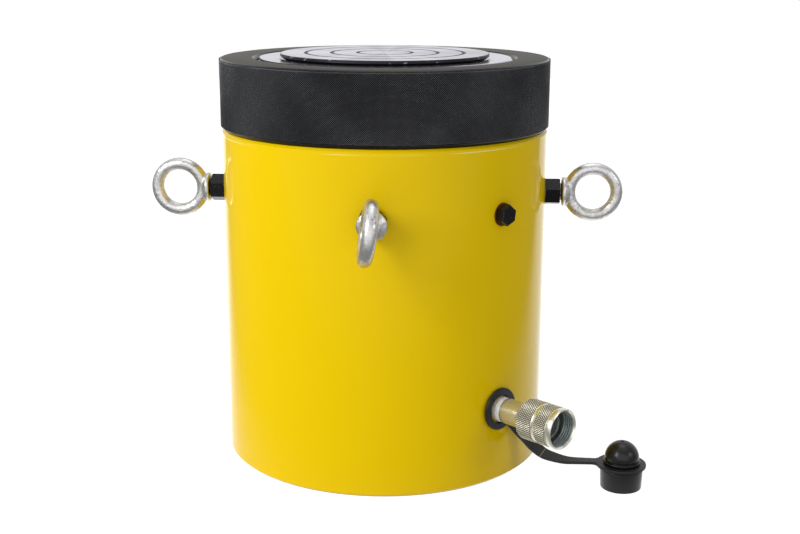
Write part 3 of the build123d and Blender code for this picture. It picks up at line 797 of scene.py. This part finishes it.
neck = Finish("yellow_passivated_zinc")
neck_radius, neck_reach, neck_place = neck.centred(port_mouth * MM, port_outward)
neck_turning = neck.node(
    "ShaderNodeTexNoise",
    {"noise_dimensions": "1D"},
    {"W": neck_reach, "Scale": 3200.0, "Detail": 2.0},
    "Fac",
)
passivated_zinc = neck.set(
    Base_Color=neck.between(neck.noise(45.0, 3.0), srgb(206, 204, 190), srgb(230, 228, 218)),
    Metallic=0.8,
    Roughness=0.17 + neck.noise(300.0, 3.0) * 0.14,
    Normal=neck.bump(neck_turning, 0.000015),
)
dress("coupler_body", passivated_zinc)
turned_steel_inside = Finish("turned_valve_steel").set(
    Base_Color=srgb(150, 154, 156), Metallic=1.0, Roughness=0.34
)
dress("coupler_seat_ring", turned_steel_inside)
dress("coupler_nose_seal", seal_compound)

tape = Finish("thread_tape")
tape_fibres = tape.noise(700.0, 3.0)
thread_seal_tape = tape.set(
    Base_Color=tape.between(tape_fibres, srgb(214, 210, 200), srgb(244, 242, 236)),
    Roughness=0.5,
    Normal=tape.bump(tape_fibres, 0.00008),
)
tape_count = 96


def tape_taper(radius, height):
    """The wraps lie thinner towards their end on the neck."""
    return np.maximum(radius - height * 0.06, 8.5)


tape_wraps = thread(
    ((-0.42, 8.9), (0.30, 9.2), (0.46, 8.95)), 1.9, 0.3, 7.6, tape_count, tape_taper
)
tape_shape = Shape().skin(
    [circle(8.5, 0.3, tape_count)]
    + tape_wraps
    + [circle(8.5, 7.6, tape_count), circle(8.5, 0.3, tape_count)]
)
tape_piece = tape_shape.piece("wrapped_thread_tape", thread_seal_tape, port_seat, 40.0)
fit(tape_piece, "cylinder", "ptfe_white", "thread_tape")


# Coupler valve: a turned poppet that the mating half pushes inwards against a coil spring. The
# spring stands in the chamber behind it. It is pressed shorter as the valve moves, but here it
# keeps one length.
dress("coupler_valve", turned_steel_inside)
drawn_wire = Finish("drawn_spring_wire").set(
    Base_Color=srgb(176, 178, 182), Metallic=1.0, Roughness=0.28
)
spring_low = 24.15
spring_high = 38.05
spring_radius = 4.35
spring_wire = 1.1
spring_coils = 6.5
spring_steps = 260
wire_count = 12


def coil_height(share):
    """The wire's height along the spring, whose end coils lie flat."""
    rise = min(max((share * spring_coils - 0.75) / (spring_coils - 1.5), 0.0), 1.0)
    lead = min(share, 1.0 - share, 0.12) * spring_wire
    low = spring_low + spring_wire / 2
    return low + (spring_high - spring_wire / 2 - low) * rise + (lead if share < 0.5 else -lead)


coil_path = [
    Vector(
        (
            spring_radius * cos(2 * pi * spring_coils * step / spring_steps),
            spring_radius * sin(2 * pi * spring_coils * step / spring_steps),
            coil_height(step / spring_steps),
        )
    )
    for step in range(spring_steps + 1)
]
wire_rings = []
for before, here, after in zip(
    [coil_path[0]] + coil_path, coil_path, coil_path[1:] + [coil_path[-1]]
):
    way = (after - before).normalized()
    inward = Vector((-here.x, -here.y, 0)).normalized()
    across = way.cross(inward).normalized()
    inward = across.cross(way)
    wire_rings.append(
        np.array(
            [
                here + (inward * cos(turn) + across * sin(turn)) * (spring_wire / 2)
                for turn in np.arange(wire_count + 1) * 2 * pi / wire_count
            ]
        )
    )
wire_rings.insert(0, np.tile(np.array(coil_path[0]), (wire_count + 1, 1)))
wire_rings.append(np.tile(np.array(coil_path[-1]), (wire_count + 1, 1)))
spring = Shape().skin(wire_rings).piece("coiled_valve_spring", drawn_wire, port_seat, 50.0)
fit(spring, "cylinder", "spring_steel", "valve_spring")
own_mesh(spring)


# Collar: a zinc plated sleeve with two bands of diamond knurl, which spins on the coupler's neck.
# Its mouth is threaded for the mating half.
collar_count = 112
collar_knurl_depth = 0.42
collar_radius = 14.6
collar = Finish("knurled_collar_zinc")
collar_out, collar_reach, collar_place = collar.centred(port_mouth * MM, port_outward)
collar_inside = collar.step(collar_out, 0.0127, 0.0124)
collar_plate = collar.between(collar.noise(60.0, 3.0), srgb(196, 193, 168), srgb(220, 220, 206))
collar_bands = (
    collar.step(collar_reach, 0.0273, 0.0275)
    * collar.step(collar_reach, 0.0524, 0.0522)
    * collar.step(collar_out, 0.01410, 0.01425)
)
# The knurl's valleys are painted dark as painted shade, and inside its bore the collar is painted a
# darker grey-green, also as painted shade.
collar_valley_shade = collar_bands * collar.step(collar_out, 0.01443, 0.01428)
collar_valley_shaded = collar.between(collar_valley_shade, srgb(240, 238, 224), srgb(60, 57, 40))
collar_bore_shade = collar.between(collar.noise(400.0, 3.0), srgb(92, 106, 106), srgb(176, 186, 182))
collar_zinc = collar.set(
    Base_Color=collar.between(collar_inside, collar_valley_shaded, collar_bore_shade),
    Metallic=1.0 - collar_inside * 0.5 - collar_bands * 0.35,
    Roughness=0.22 + collar_bands * 0.16 + collar.noise(500.0, 3.0) * 0.1 + collar_inside * 0.12,
    Normal=collar.bump(collar.noise(900.0, 2.0), 0.000012),
)
collar_shape = Shape()
for band_low, band_high, band_rows in ((27.5, 39.9, 10), (42.7, 52.2, 8)):
    band = knurl.mesh(
        Around=collar_count,
        Rows=band_rows,
        Radius=collar_radius * MM,
        Height=(band_high - band_low) * MM,
        Depth=collar_knurl_depth * MM,
    )
    band.transform(Matrix.Translation((0, 0, (band_low + band_high) / 2 * MM)))
    collar_shape.take(band)


def collar_edge(height):
    """The zigzag ring of points at the edge of a band of knurl."""
    return knurled_edge(collar_radius, height, collar_count, collar_knurl_depth, 0)


def collar_ring(radius, height):
    return circle(radius, height, collar_count)


def collar_mouth(radius, height):
    """Trims the collar's thread to the chamfer at its mouth."""
    return np.maximum(radius, 11.9 + (height - 55.9))


collar_shape.skin(
    [
        collar_ring(9.25, 23.6),
        collar_ring(9.25, 33.7),
        collar_ring(12.4, 33.7),
        collar_ring(12.4, 47.4),
    ]
    + thread(
        ((-0.1, 12.4), (0.1, 12.4), (0.4, 11.9), (0.6, 11.9)),
        1.9,
        47.6,
        57.6,
        collar_count,
        collar_mouth,
    )
    + [
        collar_ring(13.75, 57.6),
        collar_ring(13.95, 57.5),
        collar_ring(14.5, 57.0),
        collar_ring(14.6, 56.7),
        collar_ring(14.6, 53.95),
        collar_ring(14.5, 53.8),
        collar_ring(13.75, 53.7),
        collar_ring(13.7, 53.5),
        collar_ring(13.7, 52.5),
        collar_ring(13.8, 52.3),
        collar_ring(14.1, 52.2),
        collar_edge(52.2),
    ]
)
collar_shape.skin(
    [
        collar_edge(42.7),
        collar_ring(14.1, 42.7),
        collar_ring(13.95, 42.5),
        collar_ring(13.9, 42.3),
        collar_ring(13.9, 40.3),
        collar_ring(13.95, 40.1),
        collar_ring(14.1, 39.9),
        collar_edge(39.9),
    ]
)
collar_shape.skin(
    [
        collar_edge(27.5),
        collar_ring(14.1, 27.2),
        collar_ring(10.8, 23.9),
        collar_ring(10.2, 23.6),
        collar_ring(9.25, 23.6),
    ]
)
collar_piece = collar_shape.piece("knurled_coupler_collar", collar_zinc, port_seat, 26.0)
fit(collar_piece, "collar", "collar_zinc", "coupler_collar")


# Strap: black rubber, moulded in one piece. Its ring lies round the coupler's neck, and its band
# twists down to the flat loop that holds the dust cap. It bends where the band nears the loop.
rubber = Finish("moulded_black_rubber")
rubber_skin = rubber.noise(900.0, 2.0)
line_out, line_along, line_place = rubber.centred(
    (0.1197, -0.0761, 0.0187), (0.848, -0.307, -0.433)
)
# A thin pale line is painted across the band near the loop.
pale_cross_line = (
    rubber.step(line_along, -0.00032, -0.00018)
    * rubber.step(line_along, 0.00032, 0.00018)
    * rubber.step(line_out, 0.008, 0.007)
)
rubber_tone = rubber.between(rubber.noise(80.0, 2.0), srgb(16, 16, 18), srgb(25, 25, 29))
black_rubber = rubber.set(
    Base_Color=rubber.between(pale_cross_line * 0.8, rubber_tone, srgb(150, 140, 100)),
    Roughness=0.40 + rubber_skin * 0.12,
    Specular_IOR_Level=0.4,
    Normal=rubber.bump(rubber_skin, 0.000015),
)
tab_direction = Vector((0.9858, -0.168, 0))


def smooth_path(stations, steps=8):
    """Points on a smooth curve through the stations, each with its turn as a fourth number."""
    stations = np.array(stations, float)
    first = 2 * stations[0] - stations[1]
    last = 2 * stations[-1] - stations[-2]
    walk = np.vstack([first, stations, last])
    path = []
    for before, here, on, after in zip(walk, walk[1:], walk[2:], walk[3:]):
        for share in np.arange(steps) / steps:
            path.append(
                here
                + (on - before) * (share / 2)
                + (2 * before - 5 * here + 4 * on - after) * (share**2 / 2)
                + (3 * here - 3 * on + after - before) * (share**3 / 2)
            )
    return np.array(path + [stations[-1]])


strap_stations = [
    (*(port_outward * (120 + out) + port_sideways * aside + Vector((0, 0, height))), turn, wide)
    for out, aside, height, turn, wide in (
        (1.5, 6.2, 44.7, 0.0, 4.3),
        (2.2, 10.3, 42.0, 0.07, 4.4),
        (4.6, 14.8, 36.2, 0.11, 4.8),
        (8.8, 19.5, 29.7, 0.23, 5.3),
        (13.6, 22.8, 23.3, 0.38, 5.5),
        (20.1, 25.7, 18.6, 0.50, 5.3),
        (27.0, 28.5, 16.9, 0.60, 4.9),
        (35.0, 32.5, 15.8, 0.75, 4.5),
        (42.2, 36.5, 16.2, 0.90, 4.3),
    )
]
loop_middle = Vector((174.9463, -88.9506, 17.0))
strap_stations += [
    (*(loop_middle - tab_direction * reach), 1.0, 4.3) for reach in (20.0, 16.0, 13.0)
]
strap_path = smooth_path(strap_stations)
strap_half_thickness = 1.05
strap_corners = ((-1, -1), (1, -1), (1, 1), (-1, 1))
band_rings = []
for before, here, after in zip(
    np.vstack([strap_path[:1], strap_path]), strap_path, np.vstack([strap_path[1:], strap_path[-1:]])
):
    way = Vector(after[:3] - before[:3]).normalized()
    face_out = port_outward * (1 - here[3]) + Vector((0, 0, here[3]))
    across = way.cross(face_out).normalized()
    upright = across.cross(way)
    corners = [
        (side * here[4], face * strap_half_thickness, 0.5) for side, face in strap_corners
    ]
    section = rounded(corners, 3)
    band_rings.append(
        np.array(
            [
                Vector(here[:3]) + across * wide + upright * thick
                for wide, thick in section + section[:1]
            ]
        )
    )
band_rings.insert(0, np.tile(band_rings[0][:-1].mean(0), (len(band_rings[0]), 1)))
band_rings.append(np.tile(band_rings[-1][:-1].mean(0), (len(band_rings[0]), 1)))
strap_shape = Shape().skin(band_rings)
ring_outline = rounded(
    [(10.0, 0.3, 0.4), (15.4, 0.3, 0.5), (15.4, 2.6, 0.8), (10.0, 2.6, 0.6)]
)
ring_seat = port_seat @ Matrix.Translation((-1.3, 0.3, 0))
ring_points = [
    np.array([ring_seat @ Vector(point) for point in circle(radius, height, 128)])
    for radius, height in ring_outline + ring_outline[:1]
]
strap_shape.skin(ring_points)
strap = strap_shape.piece("moulded_strap", black_rubber)
cast_skin(strap, black_rubber, 0.35, 5)
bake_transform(strap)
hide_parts("cap_strap")
strap_loop = solid_copy("cap_strap_loop", "moulded_strap_loop")
strap_loop.data.transform(Matrix.Translation((-0.0004, 0, 0.0009)))
cast_skin(strap_loop, black_rubber, 0.3, 4)
fit(strap_loop, "strap_loop", "cap_rubber", "cap_strap_loop")


# Dust cap: the same black rubber, a hollow skirt with a waist for the loop and a domed crown. It
# stands on the floor beside the coupler, and turns in the loop.
cap_seat = Matrix.Translation((174.9463, -88.9506, 0))
cap_rubber = Finish("moulded_cap_rubber")
cap_out, cap_height, cap_place = cap_rubber.centred((0.1749463, -0.0889506, 0), (0, 0, 1))
cap_flow = cap_rubber.node(
    "ShaderNodeMapping", sockets={"Vector": cap_place, "Scale": (1.0, 1.0, 0.08)}
)
cap_marks = cap_rubber.noise(420.0, 2.0, cap_flow)
cap_finish = cap_rubber.set(
    Base_Color=cap_rubber.between(cap_marks, srgb(12, 12, 14), srgb(24, 24, 27)),
    Roughness=0.22 + cap_rubber.noise(500.0, 3.0) * 0.14,
    Specular_IOR_Level=0.4,
    Normal=cap_rubber.bump(cap_marks, 0.00005),
)
dome_arc = [
    (12.2 * cos(turn), 22.2 + 12.2 * sin(turn), 0)
    for turn in np.linspace(0.0, pi / 2 - 0.09, 20)
]
inner_arc = [
    (9.1 * cos(turn), 22.5 + 9.1 * sin(turn), 0) for turn in np.linspace(0.0, pi / 2, 12)
]
cap_outline = rounded(
    [(0, 34.9, 0), (0.9, 34.9, 0.25), (0.98, 34.38, 0)]
    + dome_arc[::-1]
    + [
        (12.2, 21.3, 0.5),
        (11.5, 21.3, 0.2),
        (11.5, 20.3, 0.2),
        (13.1, 20.3, 0.6),
        (13.1, 18.5, 0.6),
        (11.4, 18.5, 0.2),
        (11.4, 14.8, 0.3),
        (15.1, 14.8, 0.9),
        (14.4, 0, 0.8),
        (12.1, 0, 0.4),
        (12.1, 12.5, 0.6),
        (9.1, 12.5, 0.4),
    ]
    + inner_arc
)
dust_cap = Shape().turned(cap_outline, 128).piece("moulded_dust_cap", cap_finish, cap_seat, 35.0)
fit(dust_cap, "cap", "cap_rubber", "dust_cap")


# Studio: a plain white floor with soft light from the left, and white all round. None of it
# is part of the object.
floor_paint = Finish("studio_floor")
light_path = floor_paint.tree.nodes.new("ShaderNodeLightPath")
seen = Value(floor_paint.tree, light_path.outputs["Is Camera Ray"])
mirrored = Value(floor_paint.tree, light_path.outputs["Is Glossy Ray"])
floor_paint.set(Base_Color=srgb(236, 236, 236), Roughness=0.9)
floor_glow = floor_paint.node(
    "ShaderNodeEmission", sockets={"Color": (1.0, 1.0, 1.0, 1.0), "Strength": 1.25}
)
floor_reach, floor_level, floor_place = floor_paint.centred((0, 0, 0), (0, 0, 1))
floor_parts = floor_paint.tree.nodes.new("ShaderNodeSeparateXYZ")
feed(floor_paint.tree, floor_parts.inputs[0], floor_place)
floor_aside = Value(floor_paint.tree, floor_parts.outputs[0])
floor_behind = Value(floor_paint.tree, floor_parts.outputs[1])
floor_front = floor_paint.step(floor_behind, -0.3, -0.7)
floor_far_out = (floor_aside - 0.06).at_least(0.06 - floor_aside)
floor_rear = floor_paint.step(floor_far_out - floor_behind * 0.62, 0.36, 0.14)
floor_rear = floor_rear * floor_paint.step(floor_behind, -0.18, -0.04)
floor_near = floor_paint.between(floor_front, (0.3, 0.3, 0.3, 1.0), (0.85, 0.85, 0.88, 1.0))
floor_dim = floor_paint.node(
    "ShaderNodeEmission",
    sockets={"Color": floor_paint.between(floor_rear, floor_near, (1.5, 1.5, 1.5, 1.0))},
)
floor_mix = floor_paint.node(
    "ShaderNodeMixShader",
    sockets={
        0: seen * floor_paint.step(floor_reach, 0.22, 0.38, 0.80, 1.0),
        1: Value(floor_paint.tree, floor_paint.shader.outputs[0]),
        2: floor_glow,
    },
)
floor_shown = floor_paint.node("ShaderNodeMixShader", sockets={0: mirrored, 1: floor_mix, 2: floor_dim})
feed(floor_paint.tree, floor_paint.tree.nodes["Material Output"].inputs["Surface"], floor_shown)
studio_floor = Shape().turned([(0, 0), (3000.0, 0)], 64).piece("studio_floor", floor_paint.material)

world = bpy.data.worlds.new("studio")
world.use_nodes = True
bpy.context.scene.world = world
surround = Tree(world.node_tree)
rays = surround.tree.nodes.new("ShaderNodeLightPath")
camera_ray = Value(surround.tree, rays.outputs["Is Camera Ray"])
glossy_ray = Value(surround.tree, rays.outputs["Is Glossy Ray"])
clear_ray = Value(surround.tree, rays.outputs["Is Transmission Ray"])
direction = surround.node("ShaderNodeTexCoord", output="Generated")
axes = surround.tree.nodes.new("ShaderNodeSeparateXYZ")
feed(surround.tree, axes.inputs[0], direction)
across = Value(surround.tree, axes.outputs[0])
ahead = Value(surround.tree, axes.outputs[1])
above = Value(surround.tree, axes.outputs[2])
mirror_rear = surround.node(
    "ShaderNodeMapRange",
    {"interpolation_type": "SMOOTHSTEP"},
    {0: ahead, 1: -0.3, 2: 0.5, 3: 0.0, 4: 0.86},
)
mirror_high = surround.node(
    "ShaderNodeMapRange",
    {"interpolation_type": "SMOOTHSTEP"},
    {0: above, 1: 0.72, 2: 0.95, 3: 0.36, 4: 1.0},
)
mirror_front = surround.node(
    "ShaderNodeMapRange",
    {"interpolation_type": "SMOOTHSTEP"},
    {0: ahead, 1: -0.55, 2: -0.88, 3: 0.0, 4: 1.3},
)
mirror_light = mirror_rear.at_least(mirror_high).at_least(mirror_front)
soft_light = surround.node(
    "ShaderNodeMapRange",
    {"interpolation_type": "SMOOTHSTEP"},
    {0: across, 1: -0.8, 2: 0.8, 3: 0.58, 4: 0.28},
)
backdrop = surround.tree.nodes["Background"]
strength = (
    (camera_ray + clear_ray).at_most(1.0)
    + glossy_ray * mirror_light
    + (1.0 - (camera_ray + clear_ray + glossy_ray).at_most(1.0)) * soft_light
)
feed(surround.tree, backdrop.inputs["Color"], (1.0, 1.0, 1.0, 1.0))
feed(surround.tree, backdrop.inputs["Strength"], strength)


def lamp(name, place, aim, size, power):
    """A soft square lamp that points at a place."""
    light = bpy.data.lights.new(name, "AREA")
    light.size = size
    light.energy = power
    holder = bpy.data.objects.new(name, light)
    holder.location = place
    holder.rotation_euler = (Vector(aim) - Vector(place)).to_track_quat("-Z", "Y").to_euler()
    bpy.context.scene.collection.objects.link(holder)


lamp("left_lamp", (-1.35, -1.2, 1.1), (0, 0, 0.15), 0.9, 20.8)
lamp("right_lamp", (1.6, -0.9, 0.9), (0, 0, 0.15), 0.6, 3.7)
lamp("top_lamp", (0.1, 0.3, 1.9), (0, 0, 0.2), 0.9, 3.0)

bpy.context.scene.view_settings.view_transform = "Standard"
